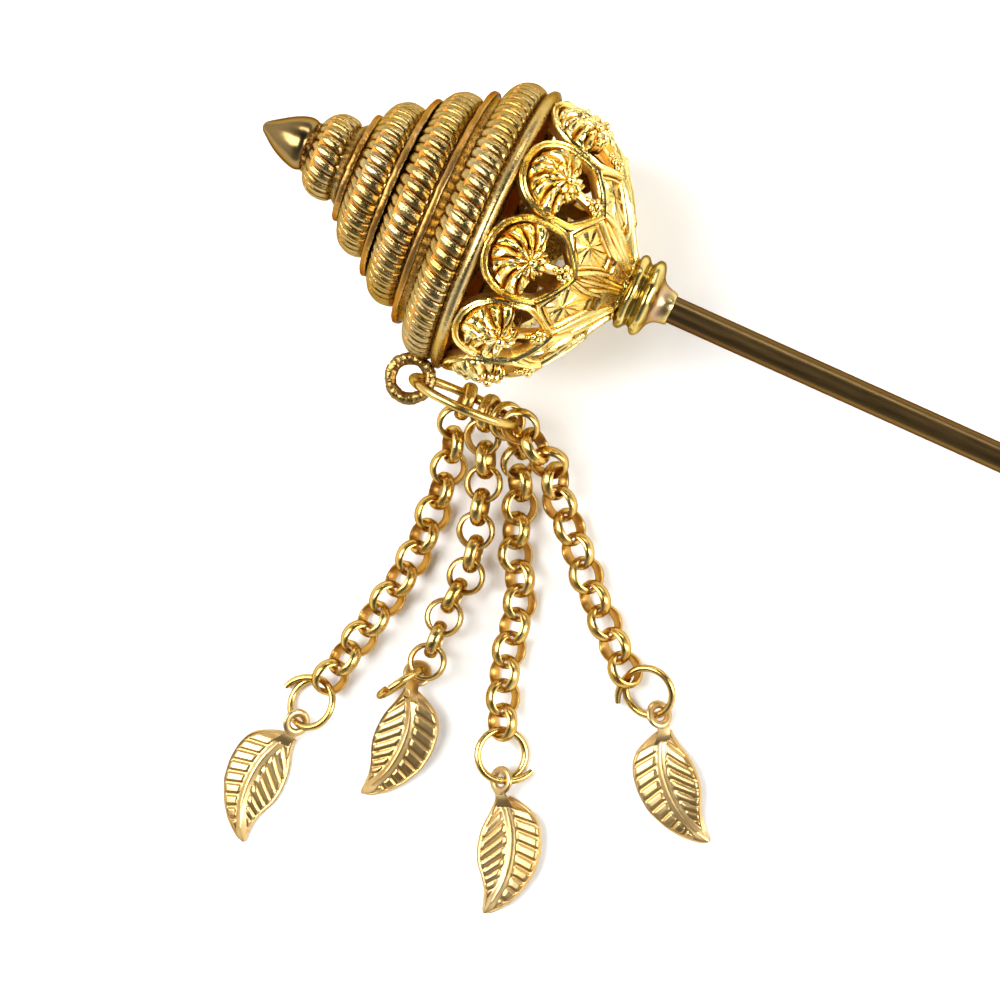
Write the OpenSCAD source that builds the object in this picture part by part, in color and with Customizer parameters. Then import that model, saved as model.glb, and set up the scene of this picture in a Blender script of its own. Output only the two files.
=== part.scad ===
/* [Stick] */
// Diameter of the round stick
stick_d = 3; // [2.4:0.1:3.6]
// Length of the stick, from the middle of the collar to the blunt end
stick_len = 120; // [90:1:150]
// Radius of the rounding at the blunt end
stick_round = 1.1; // [0.4:0.1:1.1]

/* [Collar] */
// Diameter of the collar's two rings
collar_d = 8.4; // [7.4:0.1:9.2]
// Distance between the middles of the two rings
collar_step = 1.85; // [1.6:0.05:2.2]
// Length of the solder fillet that runs out on the stick
collar_fillet = 2.2; // [1.4:0.1:3]

/* [Cone] */
// Diameter across the rim
rim_d = 32; // [30:0.5:34]
// Distance from the middle of the collar to the edge of the rim
cup_depth = 15.6; // [14.6:0.1:17]
// Depth of the cone, from the edge of the rim to the seat of the finial
cone_depth = 22.1; // [21.1:0.1:24]
// Wall of the cone behind its rope bands
cone_wall = 0.9; // [0.7:0.05:1.1]
// Wall of the lip at the rim
lip_wall = 1; // [0.8:0.05:1.3]
// Thickness of the thin fins
fin_t = 0.8; // [0.6:0.05:1]

/* [Rope bands] */
// Radius of the rope bands' round section
rope_r = 2.5; // [2.3:0.05:2.6]
// Depth of the grooves between the ribs
groove_depth = 0.4; // [0.2:0.05:0.55]

/* [Finial] */
// Length of the bud
finial_len = 5.9; // [4.5:0.1:8]
// Diameter of the bud at its widest
finial_d = 5.9; // [5:0.1:6.6]

/* [Lotus cup] */
// Number of petals
petals = 10; // [10:1:10]
// Thickness of the cup's metal
cup_t = 0.9; // [0.7:0.05:1.1]
// Height of the petals' frames above the cup's surface
frame_h = 0.7; // [0.4:0.05:0.9]
// Width of the petals' frames
frame_w = 1; // [0.9:0.05:1.2]
// Radius of the flower in each petal
flower_r = 3; // [2.6:0.1:3.2]
// Height of the flower's petals above its plate
flower_h = 0.75; // [0.5:0.05:0.95]
// Radius of the bead in the flower's middle
bead_r = 0.5; // [0.4:0.05:0.65]
// Radius of the two openings at the foot of each flower
opening_r = 1.15; // [0.9:0.05:1.3]
// Radius of the granules in the small floret
granule_r = 0.5; // [0.4:0.05:0.6]

/* [Chains] */
// Outer diameter of the chain links
link_d = 4.4; // [4.3:0.05:4.6]
// Wall of the links
link_wall = 0.55; // [0.45:0.05:0.6]
// Width of the links along their own axis
link_w = 1.2; // [1:0.05:1.25]
// Distance between the middles of neighbouring links
link_pitch = 2.7; // [2.6:0.05:2.8]
// Outer diameter of the loop at the rim
eye_d = 5.6; // [5.4:0.1:6]
// Wire of the loop at the rim
eye_wire = 1.3; // [1.2:0.05:1.4]
// Outer diameter of the large jump ring
ring_d = 13; // [12.6:0.1:13.4]
// Wire of the large jump ring
ring_wire = 1; // [0.8:0.05:1.1]
// Outer diameter of the jump rings at the leaves
leaf_ring_d = 6.4; // [6.2:0.1:6.6]
// Wire of the jump rings at the leaves
leaf_ring_wire = 0.8; // [0.7:0.05:0.9]

/* [Leaves] */
// Length of a leaf, from the middle of its eye to its tip
leaf_len = 15; // [14.8:0.1:16]
// Full width of a leaf
leaf_w = 6.6; // [5.6:0.1:7.2]
// Thickness of the stamped metal
leaf_t = 0.45; // [0.35:0.05:0.5]
// Outer diameter of a leaf's eye
leaf_eye_d = 3.2; // [3:0.05:3.4]
// Hole of a leaf's eye
leaf_hole_d = 1.6; // [1.5:0.05:1.7]
// Height of the veins
vein_h = 0.16; // [0.08:0.02:0.22]

/* [Hidden] */

$fn = 64;
// Gap between pieces that seat on each other
seat_gap = 0.06;
// Gap between the leaves and the surface the pin lies on
floor_gap = 0.06;
// The stick's tang in the collar is this much thinner than the stick, all round
tang_step = 0.5;
bright_gold = "#e3b03c";
rope_gold = "#c9922c";
deep_gold = "#b9822a";
pale_gold = "#ecc468";

rim_r = rim_d / 2;
stick_r = stick_d / 2;
collar_r = collar_d / 2;
tang_r = stick_r - tang_step;
eye_r = (eye_d - eye_wire) / 2;
ring_r = (ring_d - ring_wire) / 2;
leaf_ring_r = (leaf_ring_d - leaf_ring_wire) / 2;
half_step = 180 / petals;

// Heights of the collar's two rings, of the start of its fillet and of its end on the stick
first_ring_at = 0.5;
second_ring_at = first_ring_at - collar_step;
fillet_at = second_ring_at - 0.65;
collar_end = fillet_at - collar_fillet;

// The pin lies on its rim and on the stick's blunt end, so its axis dips towards that end.
tilt = atan((rim_r - stick_r) / (stick_len + cup_depth));
axis_z = rim_r * cos(tilt) - cup_depth * sin(tilt);

// Heights along the axis are counted from the middle of the collar towards the finial.
cone_top = cup_depth + cone_depth;

// Places of the rope bands and of the fin that follows each one.
// middle of the band along the cone, its radius, fin along the cone, its radius, ribs
BAND_AT = 0;
BAND_R = 1;
FIN_AT = 2;
FIN_R = 3;
RIBS = 4;
TIERS = [
    [0.887, 0.147, 0.756, 0.381, 22],
    [0.620, 0.394, 0.525, 0.638, 43],
    [0.389, 0.609, 0.290, 0.838, 57],
    [0.127, 0.834, 0, 0, 69]];
last_tier = len(TIERS) - 1;

// The arc of a band's section that shows, from the finial's side over the crest to the rim's side.
ARC_START = -20;
ARC_END = 130;
arc_middle = (ARC_START + ARC_END) / 2;

function band_middle(k) = [rim_r * TIERS[k][BAND_R], cup_depth + cone_depth * TIERS[k][BAND_AT]];
function on_band(k, turn, r = rope_r) = band_middle(k) + r * [sin(turn), cos(turn)];
// A point of a band's flat seat, moved into the cone by a depth
function under_band(k, turn, depth) = on_band(k, turn) - depth * [sin(arc_middle), cos(arc_middle)];

// Profile of the lotus cup's surface, from the collar to the rim.
// height as a share of the cup's depth, radius as a share of the rim's
CUP_PROFILE = [
    [0.071, 0.200],
    [0.109, 0.244],
    [0.180, 0.362],
    [0.276, 0.531],
    [0.391, 0.694],
    [0.526, 0.806],
    [0.647, 0.869],
    [0.808, 0.912],
    [0.981, 0.950]];
function cup_radius(share) = rim_r * lookup(share, CUP_PROFILE);
function cup_slope(share) = let (d = 0.03)
    atan2(cup_radius(share + d) - cup_radius(share - d), 2 * d * cup_depth);
// A point on the cup at an angle round the axis, raised by a height along the surface's normal
function cup_point(turn, share, raise = 0) = let (
        slope = cup_slope(share),
        r = cup_radius(share) + raise * cos(slope),
        z = cup_depth * share - raise * sin(slope))
    [r * cos(turn), r * sin(turn), z];

// Half of a petal's frame, from the middle of its head to its tip.
// turn as a share of half the step between petals, height as a share of the cup's depth
PETAL = [
    [0.00, 0.975],
    [0.36, 0.955],
    [0.66, 0.895],
    [0.87, 0.785],
    [0.905, 0.610],
    [0.800, 0.535],
    [0.400, 0.450],
    [0.00, 0.400]];
petal_rows = len(PETAL);
petal_loop = concat(
    [for (i = [0:petal_rows - 1]) PETAL[i]],
    [for (i = [petal_rows - 2:-1:1]) [-PETAL[i][0], PETAL[i][1]]]);

// Corners of the flat panel between two petals, as turns and heights
PANEL_TOP = 0.545;
PANEL_SIDE = 0.395;
PANEL_FOOT = 0.185;
PANEL_REACH = 0.97;
// Heights of the flower, its openings and its floret, as shares of the cup's depth
FLOWER_AT = 0.690;
OPENINGS_AT = 0.520;
FLORET_AT = 0.462;
flower_petals = 8;
// The petal nearest to the top of the lying pin is turned this far from it
first_petal = -10.2;
// The loop for the chains sits on the side where the chains lie
eye_turn = -94.5;
eye_at = 18.2;

function flat(lists) = [for (l = lists) each l];
function unit(v) = v / norm(v);
function mix(a, b, t) = a + (b - a) * t;

// A ring or a bar through closed sections with the same number of points each.
// A section's points run counter-clockwise, seen from the next section.
module swept(sections, closed) {
    n = len(sections);
    m = len(sections[0]);
    rows = closed ? n : n - 1;
    sides = [for (i = [0:rows - 1], j = [0:m - 1]) let (
            a = i * m + j,
            b = i * m + (j + 1) % m,
            c = ((i + 1) % n) * m + (j + 1) % m,
            d = ((i + 1) % n) * m + j)
        each [[a, c, b], [a, d, c]]];
    caps = closed ? [] : [[for (j = [0:m - 1]) j], [for (j = [m - 1:-1:0]) (n - 1) * m + j]];
    polyhedron(points = flat(sections), faces = concat(sides, caps));
}

// Puts what is drawn along +Z, from the collar to the finial, on the lying pin's axis
module on_axis() {
    translate([-middle_x, -middle_y, axis_z]) rotate([0, tilt - 90, 0]) children();
}

// Puts what is drawn beside the collar's foot on the surface into the part's frame
module on_surface() {
    translate([-middle_x, -middle_y, 0]) children();
}

module finial() {
    r = finial_d / 2;
    z0 = cone_top + seat_gap;
    color(bright_gold) on_axis() rotate_extrude() polygon([
        [0, z0],
        [r * 0.80, z0],
        for (t = [0:0.1:1]) [
            r * (1 - pow(abs(t - 0.16) / 0.84, 1.75)) * (t < 0.16 ? 0.96 + 0.25 * t : 1) ,
            z0 + finial_len * mix(0.05, 1, t)]]);
}

module head_cone() {
    rim_seat = under_band(last_tier, ARC_END, seat_gap);
    color(deep_gold) on_axis() rotate_extrude() polygon(concat(
        [[0, cone_top], [under_band(0, ARC_START, seat_gap)[0] - 0.1, cone_top]],
        [for (k = [0:last_tier]) each concat(
            [under_band(k, ARC_START, seat_gap), under_band(k, ARC_END, seat_gap)],
            k == last_tier ? [] : fin_outline(k))],
        [[rim_r - 0.6, rim_seat[1] - 0.05],
         [rim_r - 0.1, cup_depth + lip_wall - 0.1],
         [rim_r, cup_depth + lip_wall * 0.6],
         [rim_r, cup_depth + 0.15],
         [rim_r - 0.15, cup_depth],
         [rim_r - lip_wall, cup_depth],
         [rim_r - lip_wall - 0.1, cup_depth + lip_wall * 0.6]],
        [for (k = [last_tier:-1:0]) each [
            under_band(k, ARC_END, seat_gap + cone_wall),
            under_band(k, ARC_START, seat_gap + cone_wall)]],
        [[0, under_band(0, ARC_START, seat_gap + cone_wall)[1]]]));
}

// The smooth hollow after a band, and the fin that rises from it
function fin_outline(k) = let (
        z = cup_depth + cone_depth * TIERS[k][FIN_AT],
        r = rim_r * TIERS[k][FIN_R],
        foot = under_band(k, ARC_END, seat_gap)[0],
        next = under_band(k + 1, ARC_START, seat_gap))
    [[foot + 0.4, z + fin_t * 0.62],
     [r - 0.12, z + fin_t * 0.3],
     [r, z],
     [r - 0.12, z - fin_t * 0.3],
     [next[0], z - fin_t * 0.55]];

// A ring of slanting ribs; each rib has one crest and one groove
module rope_band(k) {
    rows = 6;
    ribs = TIERS[k][RIBS];
    slant = 360 / ribs;
    middle = band_middle(k);
    color(rope_gold) on_axis() swept([for (i = [0:2 * ribs - 1]) [for (j = [0:rows - 1]) let (
            share = j / (rows - 1),
            depth = (i % 2) * groove_depth * sin(180 * share),
            p = on_band(k, mix(ARC_START, ARC_END, share), rope_r - depth),
            turn = 180 * i / ribs - slant * share)
        [p[0] * cos(turn), p[0] * sin(turn), p[1]]]], true);
}

// A raised line on the cup through turns and heights
module cup_frame(loop, width, low, high) {
    n = len(loop);
    swept([for (i = [0:n - 1]) let (
            p = cup_point(loop[i][0], loop[i][1]),
            before = cup_point(loop[(i + n - 1) % n][0], loop[(i + n - 1) % n][1]),
            after = cup_point(loop[(i + 1) % n][0], loop[(i + 1) % n][1]),
            up = unit(cup_point(loop[i][0], loop[i][1], 1) - p),
            side = unit(cross(unit(after - before), up)))
        [p + low * up - side * width * 0.5, p + high * up, p + low * up + side * width * 0.5]], true);
}

// Draws on the cup's surface: X round the axis, Y towards the rim, Z outwards
module on_cup(turn, share) {
    rotate([0, 0, turn]) translate([cup_radius(share), 0, cup_depth * share])
        rotate([0, 90 + cup_slope(share), 0]) rotate([0, 0, 90]) children();
}

// A plate with a flower of curled petals; each petal is a crest between two valleys
module flower() {
    n = 2 * flower_petals;
    plate_r = cup_point(half_step, FLOWER_AT)[1] - 0.4;
    // Rings from the back to the top: radius, height on a crest, height in a valley
    rings = [
        [plate_r, -cup_t, -cup_t],
        [plate_r, 0.1, 0.1],
        [flower_r, flower_h, 0.15],
        [0.4, flower_h * 0.6, flower_h * 0.6]];
    swept([for (ring = rings) [for (i = [0:n - 1]) let (turn = 360 * i / n)
        [ring[0] * cos(turn), ring[0] * sin(turn), ring[1 + i % 2]]]], false);
}

module granule(r) {
    cylinder(r * 1.1, r, r * 0.5, $fn = 5);
}

module petal() {
    loop = [for (row = petal_loop) [row[0] * half_step, row[1]]];
    cup_frame(loop, frame_w * 1.25, -cup_t, frame_h);
    difference() {
        on_cup(0, FLOWER_AT) flower();
        for (side = [-1, 1])
            on_cup(0, OPENINGS_AT) translate([side * (opening_r + 0.6), 0, -3 * cup_t])
                cylinder(6 * cup_t, r = opening_r, $fn = 6);
    }
    on_cup(0, FLOWER_AT) translate([0, 0, flower_h * 0.5]) granule(bead_r * 1.2);
    on_cup(0, FLORET_AT) {
        for (turn = [0:120:240])
            rotate([0, 0, turn + 30]) translate([granule_r * 1.1, 0, -0.5])
                scale([1, 1, 2]) granule(granule_r);
        translate([0, 0, 0.3]) granule(granule_r);
    }
}

// A flat pane between two petals, let in behind its raised border
module panel() {
    middle = (PANEL_TOP + PANEL_FOOT) / 2;
    slope = cup_slope(middle);
    corners = [
        [0, PANEL_TOP],
        [PANEL_REACH * half_step, PANEL_SIDE],
        [PANEL_REACH * half_step * 0.46, PANEL_FOOT],
        [-PANEL_REACH * half_step * 0.46, PANEL_FOOT],
        [-PANEL_REACH * half_step, PANEL_SIDE]];
    on_cup(0, middle) translate([0, 0, -cup_t - 0.1]) linear_extrude(cup_t - 0.15) polygon(
        [for (c = corners) let (p = cup_point(c[0], c[1]) - cup_point(0, middle))
            [p[1], p[0] * sin(slope) + p[2] * cos(slope)]]);
    cup_frame([for (c = corners) [c[0] * 0.84, mix(middle, c[1], 0.84)]], 1, -0.6, 0.45);
}

module lotus_cup() {
    foot = [for (row = CUP_PROFILE) if (row[0] < PANEL_SIDE + 0.01) row];
    color(bright_gold) on_axis() union() {
        rotate([0, 0, first_petal]) rotate_extrude($fn = 2 * petals) polygon(concat(
            [for (row = foot) [rim_r * row[1] - 0.2, cup_depth * row[0] + 0.1]],
            [for (i = [len(foot) - 1:-1:0])
                [rim_r * foot[i][1] - cup_t, cup_depth * foot[i][0] + cup_t * 0.6]]));
        for (k = [0:petals - 1]) rotate([0, 0, first_petal + 2 * half_step * k]) {
            petal();
            rotate([0, 0, half_step]) panel();
        }
    }
}

module collar() {
    bore = tang_r + seat_gap;
    top = CUP_PROFILE[0][0] * cup_depth - seat_gap;
    groove = collar_r - 0.7;
    foot_r = stick_r + 0.3;
    color(bright_gold) on_axis() rotate_extrude() polygon(concat(
        [[bore, top], [2.9, top]],
        [for (t = [60:-20:-60]) [groove - 0.25 + 0.85 * cos(t), first_ring_at + 0.75 * sin(t)]],
        [for (t = [60:-20:-60]) [groove - 0.05 + 0.75 * cos(t), second_ring_at + 0.6 * sin(t)]],
        [for (t = [0:0.2:1]) [
            foot_r + (groove - foot_r - 0.2) * pow(1 - t, 2.4),
            fillet_at - collar_fillet * t]],
        [[bore, collar_end]]));
}

module stick() {
    top = CUP_PROFILE[0][0] * cup_depth + 1.2;
    shoulder = collar_end - 0.1;
    color(deep_gold) on_axis() rotate_extrude() polygon(concat(
        [[0, top], [tang_r - 0.3, top], [tang_r, top - 0.3]],
        [[tang_r, shoulder], [stick_r, shoulder]],
        [for (t = [0:15:90]) [
            stick_r - stick_round + stick_round * cos(t),
            -stick_len + stick_round - stick_round * sin(t)]],
        [[0, -stick_len]]));
}

// A ring of round wire in the XY plane
module wire_ring(r, wire, angle = 360) {
    rotate_extrude(angle = angle) translate([r, 0]) circle(d = wire, $fn = 24);
}

module chain_eye() {
    color(rope_gold) on_axis() difference() {
        rotate([0, 0, eye_turn]) translate([rim_r + eye_d / 2 - 0.65, 0, eye_at])
            rotate([90, 0, 0]) wire_ring(eye_r, eye_wire);
        rotate_extrude() polygon([
            [0, cup_depth - 4],
            [rim_r + seat_gap, cup_depth - 4],
            [rim_r + seat_gap, cup_depth + lip_wall + 0.2],
            on_band(last_tier, ARC_END - 5, rope_r + seat_gap),
            for (t = [120:-15:0]) on_band(last_tier, t, rope_r + seat_gap),
            [0, cup_depth + 6]]);
    }
}

// The large jump ring stands on edge in the loop, beside the cup. What hangs on it was placed with the ring's
// middle at one chosen point, and moves with the ring where the rim's size moves it.
chosen_middle = [-12.5, -17.9, 11.5];
ring_middle = [chosen_middle[0], -rim_r - 1.9, axis_z - 2.75];
ring_moved = ring_middle - chosen_middle;
// Number of a route's points over which the ring's rise dies out
RISE_OVER = 3;
ring_lean = 8.5;
ring_dip = 8.5;

module chain_ring() {
    color(bright_gold) on_surface() translate(ring_middle)
        rotate([0, ring_dip, 0]) rotate([90 + ring_lean, 0, 0]) wire_ring(ring_r, ring_wire);
}

// Routes of the chains, from the large ring to the last link: chosen points of the links' middles
ROUTES = [
    [[-13.36, -17.75, 5.14], [-13.5, -20.4, 4.2], [-13, -22.9, 3], [-12.48, -25.36, 2.37],
        [-12.04, -30.82, 1.99], [-11.97, -36.29, 2.15], [-13, -43, 2.1], [-14.97, -52.15, 2.1]],
    [[-10.43, -17.96, 5.58], [-9.97, -20.7, 5.05], [-8.65, -23.01, 4.3], [-7.4, -26.94, 4.04],
        [-6.6, -30.24, 3.84], [-5.8, -33.02, 3.15], [-5.6, -35.6, 2.8], [-6, -38, 2.3], [-6, -41, 2.3],
        [-5.6, -45.9, 2.8]],
    [[-8.01, -17.91, 6.79], [-5.9, -19.76, 5.23], [-5.11, -22.11, 3.35], [-3.69, -25.16, 2.08],
        [-2.04, -30.26, 2.16], [0.77, -34.92, 1.96], [2.6, -43, 2.1], [4.8, -48.5, 2.1]],
    [[-6.02, -17.9, 9.3], [-3.11, -19.57, 7.57], [-1.14, -20.66, 5.27], [-0.36, -22.68, 3.8],
        [0.99, -24.09, 3.06], [3.98, -27.02, 2.63], [8, -31.3, 2.1], [14.75, -37.45, 2.1]]];
// Roll of each chain's first and last link; the roll settles over the first links
ROLLS = [[69, -45], [103, 0], [155, 45], [20, -45]];
SETTLED_AFTER = 7;

function route_at(points, i, t) = let (
        n = len(points),
        p0 = points[max(i - 1, 0)],
        p1 = points[i],
        p2 = points[i + 1],
        p3 = points[min(i + 2, n - 1)])
    0.5 * (2 * p1 + (p2 - p0) * t + (2 * p0 - 5 * p1 + 4 * p2 - p3) * t * t
        + (3 * p1 - p0 - 3 * p2 + p3) * t * t * t);
function smooth_route(points) = concat(
    [for (i = [0:len(points) - 2], t = [0:0.125:0.99]) route_at(points, i, t)],
    [points[len(points) - 1]]);
function lengths(line, i = 0, sum = 0) = i == len(line) - 1 ? [sum] :
    concat([sum], lengths(line, i + 1, sum + norm(line[i + 1] - line[i])));
function walk(line, sums, s, i = 0) = i >= len(line) - 2 || sums[i + 1] > s ?
    mix(line[i], line[i + 1], (s - sums[i]) / (sums[i + 1] - sums[i])) : walk(line, sums, s, i + 1);
// A route as it moves with the large ring
function hung(points) = [for (i = [0:len(points) - 1])
    points[i] + [0, ring_moved[1], ring_moved[2] * max(0, 1 - i / RISE_OVER)]];
// Middles of a chain's links, evenly spaced along its route
function link_places(k) = let (
        line = smooth_route(hung(ROUTES[k])),
        sums = lengths(line),
        total = sums[len(sums) - 1],
        n = round(total / link_pitch))
    [for (i = [0:n]) walk(line, sums, total * i / n)];

// Each link stands across its neighbours, and half a turn more or less changes nothing.
function link_roll(k, i, last) = let (
        first = ROLLS[k][0],
        settled = ROLLS[k][1] - 90 * last,
        nearest = settled + 180 * round((first - settled) / 180))
    90 * i + mix(first, nearest, min(i / SETTLED_AFTER, 1));

// The second axis of a plane that holds a direction and is rolled about it from level
function rolled(direction, roll) = let (side = unit(cross([0, 0, 1], direction)))
    cos(roll) * side + sin(roll) * cross(direction, side);
function heading(turn) = [cos(turn), sin(turn), 0];

// Draws with X along a direction and Y as the plane's second axis
module facing(direction, roll) {
    y = rolled(direction, roll);
    z = cross(direction, y);
    multmatrix([
        [direction[0], y[0], z[0], 0],
        [direction[1], y[1], z[1], 0],
        [direction[2], y[2], z[2], 0]]) children();
}

// A link: flat inside and rounded outside
module link() {
    inner = link_d / 2 - link_wall;
    rotate_extrude() polygon([
        [inner, -link_w / 2],
        [inner + link_wall * 0.55, -link_w / 2],
        [inner + link_wall, -link_w * 0.25],
        [inner + link_wall, link_w * 0.25],
        [inner + link_wall * 0.55, link_w / 2],
        [inner, link_w / 2]]);
}

module chain(k) {
    places = link_places(k);
    last = len(places) - 1;
    color(pale_gold) on_surface() for (i = [0:last])
        translate(places[i])
            facing(unit(places[min(i + 1, last)] - places[max(i - 1, 0)]), link_roll(k, i, last))
                link();
}

// Leaves: middle of the eye, heading of the blade, heading and roll of the jump ring, place of the eye on the
// ring, roll and pitch of the eye, side that shows, rise of the two halves, lift of the foot
LEAF_EYE = 0;
LEAF_HEADING = 1;
RING_HEADING = 2;
RING_ROLL = 3;
EYE_ON_RING = 4;
EYE_TURN = 5;
LEAF_SIDE = 6;
LEAF_FOLD = 7;
LEAF_LIFT = 8;
LEAVES = [
    [[-16.4, -58.45, 1.8], -91, -102, 24, 0, [-38, 0], -1, [0.05, 0.01], 0],
    [[-6.3, -47.7, 1.1], -91, -122, 90, 232, [0, -25], 1, [0.05, 0.01], 2.2],
    [[7.3, -54.45, 1.8], -73.5, -67, -24, 0, [36, 0], 1, [0.33, 0.34], 0],
    [[20.2, -40.4, 1.65], -44.5, -20, 24, -22, [-38, 0], -1, [0.05, 0.35], 0]];

function eye_middle(k) = LEAVES[k][LEAF_EYE] + [0, ring_moved[1], 0];

module leaf_ring(k) {
    spec = LEAVES[k];
    along = heading(spec[RING_HEADING]);
    eye_on_ring = cos(spec[EYE_ON_RING]) * along + sin(spec[EYE_ON_RING]) * rolled(along, spec[RING_ROLL]);
    color(bright_gold) on_surface() translate(eye_middle(k) - leaf_ring_r * eye_on_ring)
        facing(along, spec[RING_ROLL]) rotate([0, 0, 70]) wire_ring(leaf_ring_r, leaf_ring_wire, 345);
}

// Outline of a leaf from its foot to its tip.
// share of the length, midrib, broad side, narrow side as shares of the width
BLADE = [
    [0.13, 0.04, 0.14, -0.06],
    [0.16, 0.09, 0.38, -0.05],
    [0.20, 0.14, 0.56, -0.06],
    [0.26, 0.2, 0.69, -0.1],
    [0.33, 0.26, 0.76, -0.16],
    [0.40, 0.3, 0.79, -0.2],
    [0.48, 0.32, 0.8, -0.215],
    [0.56, 0.325, 0.78, -0.21],
    [0.64, 0.31, 0.74, -0.17],
    [0.72, 0.28, 0.65, -0.09],
    [0.79, 0.23, 0.56, -0.03],
    [0.86, 0.16, 0.43, 0.01],
    [0.92, 0.1, 0.29, 0.01],
    [0.97, 0.04, 0.15, 0],
    [1.00, 0, 0.012, -0.012]];

module leaf(k) {
    spec = LEAVES[k];
    eye = eye_middle(k);
    side = spec[LEAF_SIDE];
    crest = 0.55;
    function sheet(row, i, across) = let (
            edge = across > 0 ? row[2] : row[3],
            y = leaf_w * mix(row[1], edge, abs(across)) * side,
            vein = (i % 2) * vein_h * (abs(across) == 0.5 ? 1 : 0.6),
            fade = min(1, (1 - row[0]) / 0.12, (row[0] - 0.08) / 0.1),
            fold = spec[LEAF_FOLD][across * side > 0 ? 0 : 1],
            z = mix(crest, 0, abs(across)) * fade + vein * fade
                + leaf_w * abs(edge - row[1]) * abs(across) * fold * fade
                + spec[LEAF_LIFT] * (1 - row[0]))
        [leaf_len * row[0], y, z];
    color(pale_gold) on_surface() translate([eye[0], eye[1], 0])
        rotate([0, 0, spec[LEAF_HEADING]]) union() {
            swept([for (i = [0:len(BLADE) - 1]) concat(
                [for (across = [1, 0.5, 0, -0.5, -1])
                    sheet(BLADE[i], i, across * side) + [0, 0, leaf_t + floor_gap]],
                [for (across = [-1, 0, 1])
                    sheet(BLADE[i], i, across * side) + [0, 0, floor_gap]])], false);
            translate([0, 0, eye[2]]) rotate(concat(spec[EYE_TURN], 0)) leaf_eye();
            hull() {
                translate([0, 0, eye[2]]) rotate(concat(spec[EYE_TURN], 0))
                    translate([(leaf_eye_d + leaf_hole_d) / 4, 0, 0]) cube([0.5, 1, leaf_t], center = true);
                translate([
                    leaf_len * 0.155,
                    leaf_w * 0.08 * side,
                    floor_gap + crest * 0.7 + spec[LEAF_LIFT] * 0.85])
                    cube([0.3, 0.9, leaf_t], center = true);
            }
        }
}

// The eye is a flat ring of short straight pieces.
module leaf_eye() {
    pieces = 10;
    wall = (leaf_eye_d - leaf_hole_d) / 2;
    for (i = [0:pieces - 1]) hull() for (turn = [i, i + 1]) rotate([0, 0, 360 * turn / pieces])
        translate([(leaf_eye_d - wall) / 2, 0, 0]) cube([wall, 0.02, leaf_t], center = true);
}

// Middle of the part's length and width, so that its origin lies under the middle of its box
finial_tip_x = -(cone_top + seat_gap + finial_len) * cos(tilt);
stick_end_x = (stick_len - stick_round) * cos(tilt) + (stick_r - stick_round) * sin(tilt) + stick_round;
leaf_tip_y = eye_middle(0)[1] + leaf_len * sin(LEAVES[0][LEAF_HEADING]);
middle_x = (finial_tip_x + stick_end_x) / 2;
middle_y = (leaf_tip_y + rim_r) / 2;

finial();
head_cone();
rope_band(0);  // rope_band_1
rope_band(1);  // rope_band_2
rope_band(2);  // rope_band_3
rope_band(3);  // rope_band_4
lotus_cup();
collar();
stick();
chain_eye();
chain_ring();
chain(0);  // chain_1
chain(1);  // chain_2
chain(2);  // chain_3
chain(3);  // chain_4
leaf_ring(0);  // leaf_ring_1
leaf_ring(1);  // leaf_ring_2
leaf_ring(2);  // leaf_ring_3
leaf_ring(3);  // leaf_ring_4
leaf(0);  // leaf_1
leaf(1);  // leaf_2
leaf(2);  // leaf_3
leaf(3);  // leaf_4
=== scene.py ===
from bisect import bisect_right
from math import atan, atan2, cos, degrees, floor, hypot, pi, radians, sin, sqrt

import bmesh
import bpy
from mathutils import Matrix, Vector, noise


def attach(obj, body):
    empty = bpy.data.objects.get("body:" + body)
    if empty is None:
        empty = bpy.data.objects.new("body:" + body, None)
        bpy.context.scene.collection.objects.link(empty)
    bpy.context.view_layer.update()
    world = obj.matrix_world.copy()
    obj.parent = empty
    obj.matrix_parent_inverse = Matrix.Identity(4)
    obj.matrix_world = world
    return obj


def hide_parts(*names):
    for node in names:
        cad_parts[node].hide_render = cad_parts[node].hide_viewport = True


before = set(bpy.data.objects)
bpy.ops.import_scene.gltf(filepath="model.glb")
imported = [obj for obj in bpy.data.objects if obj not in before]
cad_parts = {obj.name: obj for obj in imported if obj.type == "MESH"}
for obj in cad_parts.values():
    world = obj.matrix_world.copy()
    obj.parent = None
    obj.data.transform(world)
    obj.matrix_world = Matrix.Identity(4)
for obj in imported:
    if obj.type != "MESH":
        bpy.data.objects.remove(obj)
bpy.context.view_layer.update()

# Sizes in millimetres, as in the part's source
MM = 0.001
RIM_R = 16.0
STICK_R = 1.5
STICK_LEN = 120.0
CUP_DEPTH = 15.6
CONE_DEPTH = 22.1
CONE_WALL = 0.9
ROPE_R = 2.5
MIDDLE_X = 37.978
MIDDLE_Y = -28.724
TILT = degrees(atan((RIM_R - STICK_R) / (STICK_LEN + CUP_DEPTH)))
AXIS_Z = RIM_R * cos(radians(TILT)) - CUP_DEPTH * sin(radians(TILT))
SEAT_GAP = 0.06
UP = Vector((0, 0, 1))

# Places of pieces drawn along +Z on the pin's axis, and of pieces drawn beside the collar on the surface
ON_AXIS = Matrix.Translation((-MIDDLE_X, -MIDDLE_Y, AXIS_Z)) @ Matrix.Rotation(radians(TILT - 90), 4, "Y")
ON_SURFACE = Matrix.Translation((-MIDDLE_X, -MIDDLE_Y, 0))


# ---------------------------------------------------------------- small tools

def mix(a, b, t):
    return a + (b - a) * t


def looked_up(x, xs, ys):
    i = min(max(bisect_right(xs, x) - 1, 0), len(xs) - 2)
    return mix(ys[i], ys[i + 1], (x - xs[i]) / (xs[i + 1] - xs[i]))


def ramp(t):
    """An eased step: 0 below 0, 1 above 1."""
    t = min(max(t, 0.0), 1.0)
    return t * t * (3 - 2 * t)


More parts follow.
